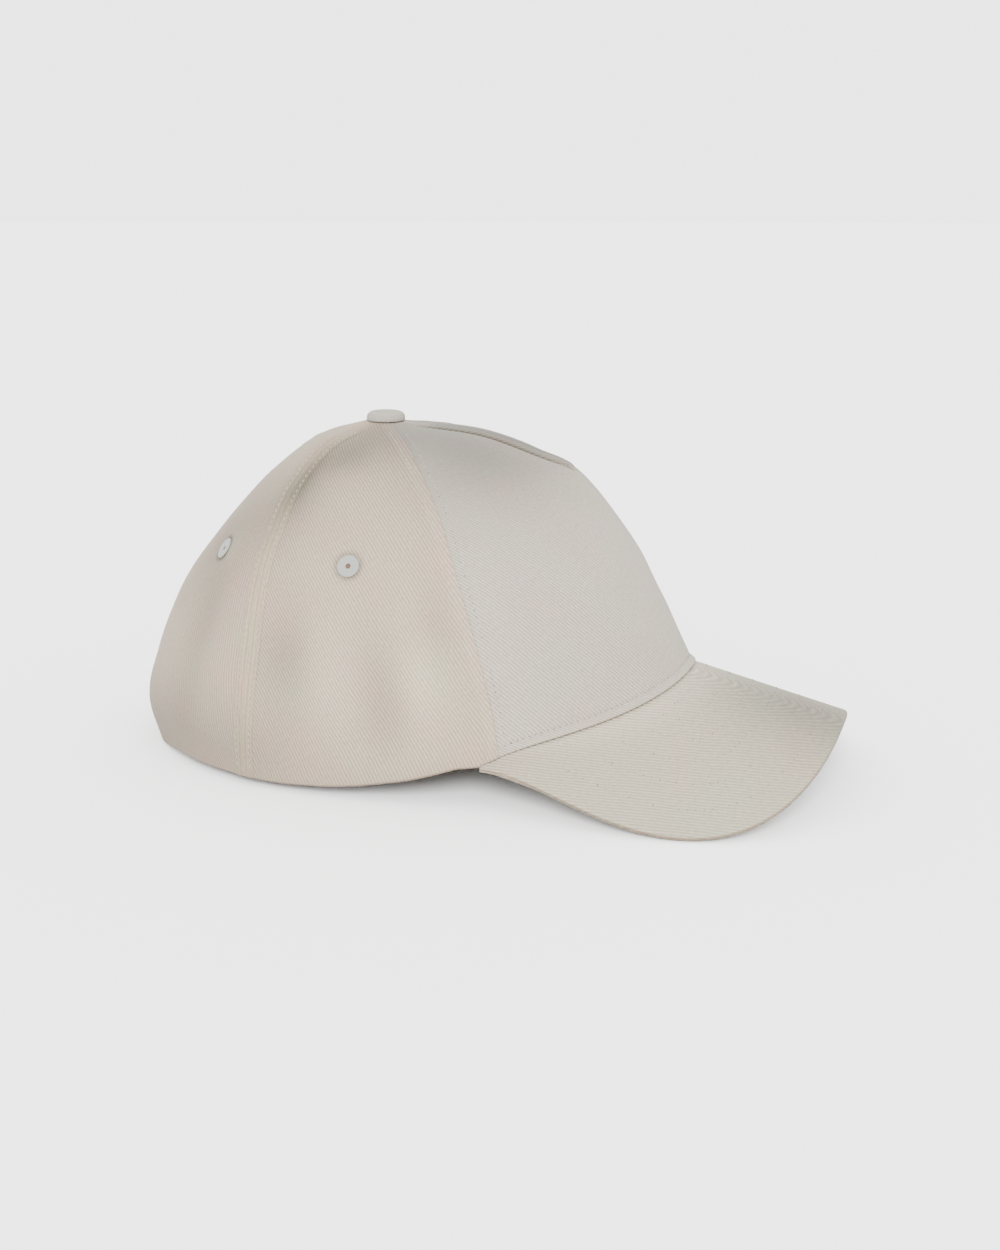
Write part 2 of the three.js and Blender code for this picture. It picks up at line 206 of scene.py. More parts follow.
# the peak's top surface, without its rise above the floor
def peakShape(x, y):
    ahead = -y - crown["rimFront"]
    spread = peak["arch"] * (np.abs(x) / crown["halfWidth"]) ** peak["archPower"]
    arch = spread * np.exp(-peak["archOpening"] * ahead / peak["reach"])
    corner = np.clip(-ahead / (crown["rimFront"] + cornerY), 0, 1) ** peak["cornerPower"]
    return -math.tan(math.radians(peak["dip"])) * ahead - arch - peak["cornerDrop"] * corner


def peakNormal(x, y):
    step = 0.5
    slopeX = (peakShape(x + step, y) - peakShape(x - step, y)) / (2 * step)
    slopeY = (peakShape(x, y + step) - peakShape(x, y - step)) / (2 * step)
    return unit(np.stack([-slopeX, -slopeY, np.ones_like(slopeX)], -1))


# outer edge of the peak in plan, from 1 at the left corner to -1 at the right one
def peakEdge(across):
    across = np.asarray(across, float)
    t = 1 - np.abs(across)
    tip = -crown["rimFront"] - peak["reach"]
    handles = [(cornerX, cornerY), (cornerX + peak["sideFlare"], cornerY - peak["sideHandle"]),
               (peak["tipHandle"], tip), (0, tip)]
    weights = [(1 - t) ** 3, 3 * t * (1 - t) ** 2, 3 * t * t * (1 - t), t ** 3]
    x = sum(w * h[0] for w, h in zip(weights, handles))
    y = sum(w * h[1] for w, h in zip(weights, handles))
    return np.where(across < 0, -x, x), y


thickness = 2 * peak["cover"] + crown["gap"]


# inner edge of the peak, tucked under the panels' wall
def peakRoot(across):
    angle = peak["corner"] * np.asarray(across, float)
    x, y = levelPoint(angle, 0.0)
    aheadX, aheadY = levelPoint(angle + 1, 0.0)
    behindX, behindY = levelPoint(angle - 1, 0.0)
    alongX, alongY = aheadX - behindX, aheadY - behindY
    length = np.hypot(alongX, alongY)
    tuck = crown["wall"] - crown["gap"]
    return x - alongY / length * tuck, y + alongX / length * tuck


# plan of a point of the peak at a depth below its top, with the outer edge square to that top
def peakPlan(across, out, depth):
    edgeX, edgeY = peakEdge(across)
    normal = peakNormal(edgeX, edgeY)
    squareness = smoothStep(1 - np.abs(across), 0, peak["cornerSquare"])
    edgeX = edgeX - normal[..., 0] * depth * squareness
    edgeY = edgeY - normal[..., 1] * depth * squareness
    rootX, rootY = peakRoot(across)
    return rootX + (edgeX - rootX) * out, rootY + (edgeY - rootY) * out


def peakDrop(x, y, depth):
    return peakShape(x, y) - depth / peakNormal(x, y)[..., 2]


# the sewn covers are pressed thin at the two corners
def cornerPress(across):
    thin = peak["cornerPress"]
    return thin + (1 - thin) * smoothStep(1 - np.abs(across), 0, peak["cornerPressed"])


acrossSteps = np.linspace(-1, 1, 25)
lowestX, lowestY = peakPlan(acrossSteps, 1.0, thickness)
peakRise = -float(np.min(peakDrop(lowestX, lowestY, thickness)))


def peakTop(x, y):
    return peakRise + peakShape(x, y)


runEnd = peak["corner"] + rim["cornerRun"]
runLift = float(peakTop(*levelPoint(runEnd, 0.0))) + crown["gap"] - rim["bandShow"]
liftCurve = tableCurve([runEnd, *rim["angle"]], [runLift / rim["sideRise"], *rim["lift"]])


# lower edge of the panels
def rimHeight(angle, x, y):
    turn = turnFromFront(angle)
    onPeak = peakTop(x, y) + crown["gap"]
    return np.where(turn < runEnd, onPeak, liftCurve(turn) * rim["sideRise"] + rim["bandShow"])


# crown before the crest and the dents; from 1 to 2 is the flat top in to the button's stem
def smoothPoint(angle, along):
    angle, along = np.broadcast_arrays(np.asarray(angle, float), np.asarray(along, float))
    wallAlong = np.minimum(along, 1)
    rimX, rimY = levelPoint(angle, 0.0)
    x, y = levelPoint(angle, wallAlong)
    up = upCurve(wallAlong)
    z = crown["height"] * up + rimHeight(angle, rimX, rimY) * (1 - up)
    setback = crown["buttonSetback"]
    radius = np.hypot(x, y - setback)
    inward = 1 + (crown["stemRadius"] / radius - 1) * np.clip(along - 1, 0, 1)
    return np.stack([x * inward, setback + (y - setback) * inward, z], -1)


def outward(surface, angle, along):
    turn, climb = 0.5, 0.01
    across = surface(angle + turn, along) - surface(angle - turn, along)
    upward = surface(angle, np.minimum(along + climb, 2)) - surface(angle, np.maximum(along - climb, 0))
    return unit(np.cross(across, upward))


# sum of the soft spots in a table
def spots(table, angle, along):
    turn = turnFromFront(angle)
    total = np.zeros(np.broadcast(turn, along).shape)
    for place, height, wide, tall, strength in table:
        total = total + strength * np.exp(-(((turn - place) / wide) ** 2) - ((along - height) / tall) ** 2)
    return total


def dentPush(angle, along):
    return crown["halfWidth"] * spots(dents, angle, along) * smoothStep(along, 0, 0.08)


def crownPoint(angle, along):
    point = smoothPoint(angle, along)
    facing = np.clip(2 * np.cos(np.radians(angle)), 0, 1)
    reach = np.exp(-np.abs(point[..., 0]) / crest["spread"])
    push = dentPush(angle, along) + crest["height"] * crestCurve(along) * facing * reach
    return point + outward(smoothPoint, angle, along) * push[..., None]


def millimetresPerDegree(angle, along):
    return np.linalg.norm(crownPoint(angle + 0.5, along) - crownPoint(angle - 0.5, along), axis=-1)


def seamAngle(seam, along):
    place = np.minimum(along, 1)
    return seam["rim"] + (seam["top"] - seam["rim"]) * place + seam["bow"] * 4 * place * (1 - place)


print("stage: crown and peak surfaces ready")


# closed wall between two grids of points, with an opening where a cell isn't kept
def wallFaces(rows, columns, keep, closed=False):
    spans = columns if closed else columns - 1
    row, column = np.nonzero(keep[:, :spans])
    nextColumn = (column + 1) % columns
    a = row * columns + column
    b = row * columns + nextColumn
    c = (row + 1) * columns + nextColumn
    d = (row + 1) * columns + column
    layer = rows * columns
    faces = [np.stack([a, b, c, d], 1), np.stack([a, d, c, b], 1) + layer]
    padded = np.zeros((rows + 1, spans + 2), bool)
    padded[1:-1, 1:-1] = keep[:, :spans]
    if closed:
        padded[:, 0] = padded[:, -2]
        padded[:, -1] = padded[:, 1]
    edges = [(a, b, -1, 0), (b, c, 0, 1), (c, d, 1, 0), (d, a, 0, -1)]
    for start, end, rowStep, columnStep in edges:
        bare = ~padded[row + 1 + rowStep, column + 1 + columnStep]
        p, q = start[bare], end[bare]
        faces.append(np.stack([q, p, p + layer, q + layer], 1))
    return np.concatenate(faces)


# faces between rings of points, each ring with the same count of them
def ringFaces(rings, count):
    column = np.arange(count)
    strips = []
    for i in range(rings - 1):
        a, b = i * count + column, i * count + (column + 1) % count
        strips.append(np.stack([a, b, b + count, a + count], 1))
    return np.concatenate(strips)


# points are in millimetres from the rim's centre; cloth is the flat cloth's own pattern, in millimetres
def makeMesh(name, points, faces, cloth=None, marks=None, edges=()):
    placed = np.array(points, float)
    placed[:, 1] += rimCentreY
    mesh = bpy.data.meshes.new(name)
    mesh.from_pydata((placed * mm).tolist(), edges, faces.tolist())
    if cloth is not None:
        corner = np.zeros(len(mesh.loops), np.int32)
        mesh.loops.foreach_get("vertex_index", corner)
        layer = mesh.uv_layers.new(name="cloth")
        layer.data.foreach_set("uv", np.asarray(cloth, np.float32)[corner].ravel())
    for mark, values in (marks or {}).items():
        kind, field = ("FLOAT_VECTOR", "vector") if values.ndim > 1 else ("FLOAT", "value")
        attribute = mesh.attributes.new(mark, kind, "POINT")
        attribute.data.foreach_set(field, values.astype(np.float32).ravel())
    if len(faces):
        mesh.shade_smooth()
        mesh.validate()
    piece = bpy.data.objects.new(name, mesh)
    bpy.context.scene.collection.objects.link(piece)
    return piece


# cloth wall between an outer and an inner grid; the marks are on the outer one, or on both
def makeWall(name, outer, inner, pattern, marks, bothSides, keep=None, closed=False):
    rows, columns = outer.shape[:2]
    if keep is None:
        keep = np.ones((rows - 1, columns), bool)
    points = np.concatenate([outer.reshape(-1, 3), inner.reshape(-1, 3)])
    both = {key: np.concatenate([grid.ravel(), grid.ravel() * bothSides]) for key, grid in marks.items()}
    flat = np.concatenate([pattern.reshape(-1, 2)] * 2)
    return makeMesh(name, points, wallFaces(rows, columns, keep, closed), flat, both)


def finishPiece(piece, material=None, node=None):
    if material:
        piece.data.materials.append(material)
    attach(piece, "root")
    if node:
        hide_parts(node)


def addNode(tree, kind, inputs=None, **settings):
    made = tree.nodes.new(kind)
    for key, value in settings.items():
        setattr(made, key, value)
    for key, value in (inputs or {}).items():
        if isinstance(value, bpy.types.NodeSocket):
            tree.links.new(value, made.inputs[key])
        else:
            made.inputs[key].default_value = value
    return made


def calculate(tree, operation, *values):
    return addNode(tree, "ShaderNodeMath", dict(enumerate(values)), operation=operation).outputs[0]


def product(tree, first, second):
    return calculate(tree, "MULTIPLY", first, second)


# sine wave along a place, both in the same unit as its length
def waveAlong(tree, place, length):
    return calculate(tree, "SINE", product(tree, place, 2 * math.pi / length))


def noiseAt(tree, place, scale, detail):
    inputs = {"Vector": place, "Scale": scale, "Detail": detail}
    return addNode(tree, "ShaderNodeTexNoise", inputs).outputs["Fac"]


def meshMark(tree, name):
    return addNode(tree, "ShaderNodeAttribute", attribute_name=name).outputs["Fac"]


def scaled(tree, vector, share):
    return addNode(tree, "ShaderNodeVectorMath", {0: vector, "Scale": share}, operation="SCALE").outputs[0]


def mapRange(tree, value, low, high, lowResult, highResult, interpolation="LINEAR"):
    inputs = dict(enumerate((value, low, high, lowResult, highResult)))
    return addNode(tree, "ShaderNodeMapRange", inputs, interpolation_type=interpolation).outputs[0]


def mixColour(tree, factor, first, second, blend="MIX"):
    inputs = {0: factor, 6: first, 7: second}
    return addNode(tree, "ShaderNodeMix", inputs, data_type="RGBA", blend_type=blend).outputs[2]


def newMaterial(name, roughness, specular=0.2, sheen=0.0):
    material = bpy.data.materials.new(name)
    material.use_nodes = True
    shader = material.node_tree.nodes["Principled BSDF"]
    shader.inputs["Roughness"].default_value = roughness
    shader.inputs["Specular IOR Level"].default_value = specular
    shader.inputs["Sheen Weight"].default_value = sheen
    shader.inputs["Sheen Roughness"].default_value = 0.6
    return material, material.node_tree, shader


def setSurface(tree, shader, colour, height=None, strength=0.0, relief=0.0):
    tree.links.new(colour, shader.inputs["Base Color"])
    if height is not None:
        inputs = {"Strength": strength, "Distance": relief * mm, "Height": height}
        tree.links.new(addNode(tree, "ShaderNodeBump", inputs).outputs[0], shader.inputs["Normal"])


twill = {
    "yarnStretch": 0.5,
    "wobble": 0.96,
    "wobbleScale": 0.05,
    "slubScale": 1.3,
    "floatLow": 0.45,
    "floatSpread": 0.9,
    "blotchScale": 0.04,
    "relief": 0.3,
    "slubContrast": 0.42,
    "blotchContrast": 0.04,
    "bandTint": (1, 1, 0.93, 1),
    "bandFade": 8.0,
    "bandEdge": 4.2,
    "bandStreak": 1.7,
    "streakShare": 0.65,
    "bandLine": 0.14,
    "bandLineCore": 0.1,
    "bandLineEnd": 0.5,
    "lineColour": (0.12, 0.075, 0.045, 1),
}


# light and dark wales; beside a banded seam they turn into streaks along it, up to a darker edge line
def twillWave(tree, across, wale):
    wave = waveAlong(tree, across, wale)
    beside = calculate(tree, "MULTIPLY_ADD", meshMark(tree, "band"), -twill["bandFade"], twill["bandFade"])
    edge = twill["bandEdge"]
    onBand = mapRange(tree, beside, edge - 0.4, edge + 0.2, 1.0, 0.0, "SMOOTHSTEP")
    streak = waveAlong(tree, beside, twill["bandStreak"])
    toStreak = product(tree, calculate(tree, "SUBTRACT", streak, wave), onBand)
    wave = calculate(tree, "MULTIPLY_ADD", toStreak, twill["streakShare"], wave)
    fromEdge = calculate(tree, "ABSOLUTE", calculate(tree, "SUBTRACT", beside, edge))
    bandLine = mapRange(tree, fromEdge, twill["bandLineCore"], twill["bandLineEnd"], twill["bandLine"], 0.0)
    return wave, onBand, bandLine


# diagonal twill on the cloth's own pattern; turn is the angle of its lines from the cloth's width
def twillMaterial(name, colour, turn, wale, contrast):
    material, tree, shader = newMaterial(name, 0.92, 0.15, 0.06)
    pattern = addNode(tree, "ShaderNodeUVMap", uv_map="cloth").outputs[0]
    wobble = noiseAt(tree, pattern, twill["wobbleScale"], 1.0)
    shift = calculate(tree, "MULTIPLY_ADD", wobble, twill["wobble"], -twill["wobble"] / 2)
    rotation = (0, 0, -math.radians(turn))
    turned = addNode(tree, "ShaderNodeMapping", {"Vector": pattern, "Rotation": rotation}).outputs[0]
    parts = addNode(tree, "ShaderNodeSeparateXYZ", {0: turned})
    wave, onBand, bandLine = twillWave(tree, calculate(tree, "ADD", parts.outputs[1], shift), wale)
    yarns = (twill["yarnStretch"], 1, 1)
    stretched = addNode(tree, "ShaderNodeMapping", {"Vector": turned, "Scale": yarns}).outputs[0]
    slub = noiseAt(tree, stretched, twill["slubScale"], 2.0)
    floats = calculate(tree, "MULTIPLY_ADD", slub, twill["floatSpread"], twill["floatLow"])
    height = product(tree, calculate(tree, "MULTIPLY_ADD", wave, 0.5, 0.5), floats)
    blotch = calculate(tree, "MULTIPLY_ADD", noiseAt(tree, pattern, twill["blotchScale"], 2.0), 3.0, -1.0)
    tint = twill["blotchContrast"]
    red, green, blue = colour
    base = mixColour(tree, blotch, (red * (1 - tint), green * (1 + tint), blue, 1),
                     (red * (1 + tint), green * (1 - tint), blue, 1))
    base = mixColour(tree, onBand, base, twill["bandTint"], "MULTIPLY")
    light = calculate(tree, "MULTIPLY_ADD", height, 2 * contrast, 1 - contrast)
    light = calculate(tree, "SUBTRACT", light, twill["slubContrast"] / 2)
    light = calculate(tree, "MULTIPLY_ADD", slub, twill["slubContrast"], light)
    # painted shade from the mesh takes light away, and painted light adds it where the mark is below 0; then
    # the brown tint and painted shade lines mix toward lineColour
    for loss in (meshMark(tree, "paintedShade"), bandLine):
        light = product(tree, light, calculate(tree, "SUBTRACT", 1.0, loss))
    tinted = mixColour(tree, meshMark(tree, "brownTintAndShade"), scaled(tree, base, light), twill["lineColour"])
    setSurface(tree, shader, tinted, height, 0.7, twill["relief"])
    return material


sideColour = (0.261, 0.21, 0.156)
peakColour = (0.246, 0.219, 0.164)
# colour, angle of the lines, millimetres between them and their contrast
twillKinds = {
    "frontTwill": ((0.262, 0.231, 0.188), -58, 1.2, 0.22),
    "sideTwill": (sideColour, -63, 1.2, 0.22),
    "backTwill": (sideColour, -75, 1.2, 0.22),
    "bandTwill": ((0.30, 0.24, 0.187), 0, 1.2, 0.2),
    "peakTwill": (peakColour, 0, 0.9, 0.16),
    "underTwill": (peakColour, 0, 0.9, 0.16),
}
cloths = {name: twillMaterial(name, *look) for name, look in twillKinds.items()}

weave = {
    "colour": (0.222, 0.202, 0.172),
    "pitch": 0.95,
    "contrast": 0.6,
    "relief": 0.12,
    "noiseScale": 0.5,
    "noiseLow": 0.55,
    "noiseSpread": 0.3,
}


# plain woven cloth stretched over the button
def buttonMaterial():
    material, tree, shader = newMaterial("buttonWeave", 0.9, 0.15, 0.05)
    pattern = addNode(tree, "ShaderNodeUVMap", uv_map="cloth").outputs[0]
    parts = addNode(tree, "ShaderNodeSeparateXYZ", {0: pattern})
    warp, weft = (waveAlong(tree, parts.outputs[i], weave["pitch"]) for i in range(2))
    height = calculate(tree, "MULTIPLY_ADD", product(tree, warp, weft), 0.5, 0.5)
    noise = noiseAt(tree, pattern, weave["noiseScale"], 3.0)
    cover = calculate(tree, "MULTIPLY_ADD", noise, weave["noiseSpread"], weave["noiseLow"])
    light = calculate(tree, "MULTIPLY_ADD", height, weave["contrast"], cover)
    setSurface(tree, shader, scaled(tree, weave["colour"], light), height, 0.6, weave["relief"])
    return material


# spun thread: fine twisted plies and a slight change of tone; the grain is counted per metre
def threadMaterial(name, colour, roughness=0.75):
    material, tree, shader = newMaterial(name, roughness, 0.25, 0.1)
    grain, relief = 900.0, 0.05
    noise = noiseAt(tree, addNode(tree, "ShaderNodeTexCoord").outputs["Object"], grain, 2.0)
    light = calculate(tree, "MULTIPLY_ADD", noise, 0.3, 0.85)
    setSurface(tree, shader, scaled(tree, colour, light), noise, 0.5, relief)
    return material


# eyelet thread; a brown disc closes the hole, the brown of the cloth inside darkened as painted shade of the
# hole
def eyeletMaterial():
    material, tree, shader = newMaterial("eyeletSatin", 0.6, 0.3, 0.1)
    thread, brown = (0.205, 0.208, 0.19), (0.075, 0.034, 0.018, 1)
    light = calculate(tree, "MULTIPLY_ADD", meshMark(tree, "spoke"), 0.2, 0.8)
    setSurface(tree, shader, mixColour(tree, meshMark(tree, "depth"), scaled(tree, thread, light), brown))
    return material


buttonWeave = buttonMaterial()
clothThread = threadMaterial("clothThread", (0.27, 0.23, 0.185))
edgeThread = threadMaterial("edgeThread", (0.33, 0.25, 0.18))
# dark flecks for the needle holes: painted shade where the holes are
needleShade = threadMaterial("needleShade", (0.075, 0.068, 0.062), 0.95)
eyeletSatin = eyeletMaterial()
print("stage: materials ready")

# the cloth is doubled beside each seam; rises are on the side before it and on the side after it
seamWork = {
    "rollWidth": 0.8,
    "rollDepths": {"front": 0.06, "back": 0.22, "middle": 0.35},
    "bandWidth": 4.2,
    "edgeSoftness": 0.6,
    "rises": {"front": (0.1, 0.5), "back": (0.55, 0.5), "middle": (0.4, 0.4)},
    "streak": 0.2,
    "streakPitch": 1.7,
    "pucker": 0.07,
    "puckerPitch": 7.5,
    "puckerLean": 0.6,
}
hem = {
    "foldDrop": 0.5,
    "foldHeight": 0.9,
    "grooveHeight": 4,
    "grooveDepth": 0.25,
    "grooveWidth": 0.7,
    "flare": 1.5,
}
# start and ramp are shares of the way up; columns are the mesh's own, by distance from the dart's middle
dart = {
    "halfWidth": 4.5,
    "narrow": 0.35,
    "rise": 0.75,
    "shoulder": 0.3,
    "grooveDepth": 0.25,
    # bandShade and lineShade paint shade on the dart's raised strip and along its edge and middle lines;
    # lineTint browns the painted edge line
    "bandShade": 0.24,
    "lineShade": 0.5,
    "lineTint": 0.15,
    "start": 0.675,
    "ramp": 0.08,
    "columns": [0.25, 0.5, 0.8, 1.2, 1.7, 2.3, 2.9, 3.4, 3.7, 3.9, 4.05, 4.2, 4.35, 4.5, 4.65, 4.8, 4.95,
                5.15, 5.5, 6],
}
ease = {
    "backFullness": 2.2,
    "backHeight": 0.37,
    "rippleHeight": 0.16,
    "ripplePitch": 17,
    # painted shade in the dents and painted light on their bulges, per millimetre of push
    "dentPaintedShade": 0.1,
}


# distance in millimetres from a seam, along the surface
def seamDistance(seamName, angle, along):
    turn = turnFromFront(angle)
    return (turn - seamAngle(seams[seamName], along)) * millimetresPerDegree(angle, along)


def besideSeam(distance, rise, depth, along):
    near = np.abs(distance)
    roll = np.clip(1 - near / seamWork["rollWidth"], 0, 1) ** 2
    soft = seamWork["edgeSoftness"]
    band = 1 - smoothStep(near, seamWork["bandWidth"] - soft, seamWork["bandWidth"] + soft)
    climb = 2 * np.pi * along * crown["wallLength"] / seamWork["puckerPitch"]
    wave = np.sin(climb + seamWork["puckerLean"] * distance)
    band = band * (1 + seamWork["streak"] * np.cos(2 * np.pi * near / seamWork["streakPitch"]))
    fade = 1 - smoothStep(along, 0.93, 1)
    return (rise * band + seamWork["pucker"] * wave * band) * fade - depth * roll


# soft uneven ripples that any worn cloth has
def ripples(point):
    x, y, z = (point[..., i] / ease["ripplePitch"] for i in range(3))
    first = np.sin(x * 2.1 + 1.3 * np.sin(z * 1.7 + y)) * np.sin(z * 1.9 + 0.7 * np.sin(y * 2.3))
    second = np.sin(y * 2.7 - x * 1.1 + 2.1) * np.sin(z * 3.1 + x * 0.9)
    return ease["rippleHeight"] * (first + 0.6 * second)


# how far the dart has begun, and its band, band edges and middle line, each from 0 to 1
def dartShare(point, along):
    side = np.abs(point[..., 0])
    start = dart["start"]
    started = smoothStep(along, start - 0.005, start + 0.03) * (1 - smoothStep(along, 0.95, 1))
    taper = dart["narrow"] + (1 - dart["narrow"]) * smoothStep(along, start, start + dart["ramp"])
    half = dart["halfWidth"] * taper
    band = 1 - smoothStep(side, half - dart["shoulder"], half)
    return started, band, hump(side, half + 0.1, 0.4), hump(side, 0, 0.5)


# everything the sewing does to the crown's outer face, in millimetres
def sewnRelief(panel, point, angle, along):
    before, after = panel["seams"]
    turn = turnFromFront(angle)
    push = ripples(point) * smoothStep(along, 0, 0.1)
    push = push + ease["backFullness"] * smoothStep(turn, 118, 150) * hump(along, ease["backHeight"], 0.1)
    for seamName, place in ((before, 1), (after, 0)):
        if seamName:
            rise, depth = seamWork["rises"][seamName][place], seamWork["rollDepths"][seamName]
            push = push + besideSeam(seamDistance(seamName, angle, along), rise, depth, along)
    above = along * crown["wallLength"]
    fold = np.clip(1 - above / hem["foldHeight"], 0, 1) ** 2
    groove = hem["grooveDepth"] * hump(above, hem["grooveHeight"], hem["grooveWidth"])
    flare = hem["flare"] * np.clip(1 - above / hem["grooveHeight"], 0, 1)
    onPeak = 1 - smoothStep(turn, 45, 62)
    push = push - hem["foldDrop"] * fold + (flare - groove) * onPeak
    if not before:
        started, band, edge, middle = dartShare(point, along)
        push = push + (dart["rise"] * band - dart["grooveDepth"] * (middle + edge)) * started
    return push


def outerPoint(panel, angle, along):
    point = crownPoint(angle, along)
    push = sewnRelief(panel, point, angle, along)
    return point + outward(crownPoint, angle, along) * push[..., None]


# seams that a panel lies between; the front panel has one on each side and none before it
panels = {
    "front": {"seams": (None, "front"), "material": cloths["frontTwill"]},
    "side": {"seams": ("front", "back"), "material": cloths["sideTwill"]},
    "back": {"seams": ("back", "middle"), "material": cloths["backTwill"]},
}
# distances of the mesh's first lines from a panel's sewn edge and from its hem
sewnEdge = [0, 0.12, 0.3, 0.5, 0.75, 1.05, 1.5, 2.1]
hemEdge = [0, 0.15, 0.4, 0.7, 1.1, 1.6, 2.2, 2.8, 3.3, 3.7, 4, 4.3, 4.7, 5.2, 5.9]


# places across a panel, closer together at its sewn edges
def panelShares(widthMm):
    count = int((widthMm - 2 * sewnEdge[-1]) / crown["cell"])
    middle = np.linspace(sewnEdge[-1], widthMm - sewnEdge[-1], count + 1)
    places = [*sewnEdge[:-1], *middle, *[widthMm - e for e in reversed(sewnEdge[:-1])]]
    return np.array(places) / widthMm


# angles across the front panel: straight ahead beside the dart, then fanning out to the seam
def frontAngles(rows, far, widthMm):
    straight = np.array(dart["columns"])
    reach = sideCurve(np.minimum(rows, 1)) * crown["halfWidth"]
    inner = np.degrees(np.arcsin((straight / reach[:, None]) ** (crown["squareness"] / 2)))
    half = widthMm / 2 - straight[-1]
    count = int((half - sewnEdge[-1]) / crown["cell"])
    middle = np.linspace(0, half - sewnEdge[-1], count + 1)[1:]
    places = np.array([*middle, *[half - e for e in reversed(sewnEdge[:-1])]])
    outer = inner[:, -1:] + (far[:, None] - inner[:, -1:]) * (places / half)
    oneSide = np.concatenate([inner, outer], axis=1)
    return np.concatenate([-oneSide[:, ::-1], np.zeros((len(rows), 1)), oneSide], axis=1)


# places up a panel, closer together at the hem, then in over the flat top to the stem
def panelRows():
    count = int((crown["wallLength"] - hemEdge[-1]) / crown["cell"])
    high = np.linspace(hemEdge[-1], crown["wallLength"], count + 1)
    return np.concatenate([np.array([*hemEdge[:-1], *high]) / crown["wallLength"], [1.25, 1.6, 2]])


def panelAngles(panel, side, along):
    before, after = panel["seams"]
    far = seamAngle(seams[after], along)
    near = seamAngle(seams[before], along) if before else -far
    return (near, far) if side > 0 else (-far, -near)


# the cloth's own pattern: distance along each level from the panel's middle, and height up the wall
def clothPattern(points, middleColumn):
    steps = np.linalg.norm(np.diff(points, axis=1), axis=-1)
    across = np.concatenate([np.zeros((len(points), 1)), np.cumsum(steps, axis=1)], axis=1)
    across = across - across[:, middleColumn:middleColumn + 1]
    climb = np.linalg.norm(np.diff(points[:, middleColumn], axis=0), axis=-1)
    up = np.concatenate([[0], np.cumsum(climb)])
    return np.stack([across, np.broadcast_to(up[:, None], across.shape)], -1)


eyelet = {
    "radius": 4.1,
    "barrel": 2.2,
    "hole": 0.75,
    "rise": 0.5,
    "draw": 0.4,
    # painted shade in a ring round the eyelet
    "shade": 0.35,
    "wave": 0.08,
    "threads": 34,
    "ring": 136,
    "places": {"side": (82.1, 0.536), "back": (130.8, 0.537)},
}
barrelRadius = eyelet["barrel"] - crown["gap"]


# the cloth drawn in round an eyelet, the cells kept outside its hole and the painted shade round it
def openCloth(kind, side, outer, angle, along):
    turn, height = eyelet["places"][kind]
    centre = crownPoint(np.array([side * turn]), np.array([height]))[0]
    reach = np.linalg.norm(outer - centre, axis=-1)
    shade = eyelet["shade"] * hump(reach, eyelet["radius"] + 0.4, 1.1)
    draw = eyelet["draw"] * hump(reach, eyelet["radius"], 0.8)
    outer = outer - outward(crownPoint, angle, along) * draw[..., None]
    cells = (outer[:-1, :-1] + outer[1:, 1:]) / 2
    return outer, np.linalg.norm(cells - centre, axis=-1) > barrelRadius, shade


# brown lines of a panel, painted shade tinted brown in the hem fold and the seam rolls, a browner band low
# down, and paler strips; seam holds the line's strength low down and near the top
panelLines = {
    "hem": 0.8,
    "hemHeight": 0.6,
    "seam": {"front": (0.1, 0.4), "side": (0, 0), "back": (0.1, 0.2)},
    "seamWidth": 0.35,
    "warm": 0.22,
    "warmHeight": 4,
    "paler": 0.06,
    "palerStart": 3.4,
    "palerEnd": 4.8,
}


# brown lines, share of light lost (painted shade, and painted light where below 0) and nearness to a banded
# seam, over a panel's outer face
def panelMarks(kind, angle, along, low, high):
    above = along * crown["wallLength"]
    hemLine = panelLines["hem"] * np.clip(1 - above / panelLines["hemHeight"], 0, 1)
    fromSeam = np.minimum(angle - low, high - angle) * millimetresPerDegree(angle, along)
    lowLine, topLine = panelLines["seam"][kind]
    strength = lowLine + (topLine - lowLine) * smoothStep(along, 0.45, 0.75)
    brownTintAndShade = np.maximum(hemLine, strength * np.clip(1 - fromSeam / panelLines["seamWidth"], 0, 1))
    # painted shade from the patches, painted shade in the dents and painted light on their bulges
    paintedShade = spots(paintedShadePatches, angle, along) - ease["dentPaintedShade"] * dentPush(angle, along)
    band = np.zeros(angle.shape)
    if kind == "front":
        # painted shade on the dart's strip and along its edge and middle lines, the edge line tinted brown
        # too
        started, inside, line, middle = dartShare(crownPoint(angle, along), along)
        lines = dart["lineShade"] * np.maximum(line, middle)
        paintedShade = paintedShade + np.maximum(dart["bandShade"] * inside, lines) * started
        brownTintAndShade = np.maximum(brownTintAndShade, dart["lineTint"] * line * started)
        return brownTintAndShade, paintedShade, band
    brownTintAndShade = np.maximum(brownTintAndShade, panelLines["warm"] * np.exp(-above / panelLines["warmHeight"]))
    for seamName in panels[kind]["seams"]:
        near = np.abs(seamDistance(seamName, angle, along))
        if seamName == "front":
            strip = 1 - smoothStep(near, panelLines["palerStart"], panelLines["palerEnd"])
            paintedShade = paintedShade - panelLines["paler"] * strip
        else:
            band = np.maximum(band, 1 - near / twill["bandFade"])
    return brownTintAndShade, paintedShade, band


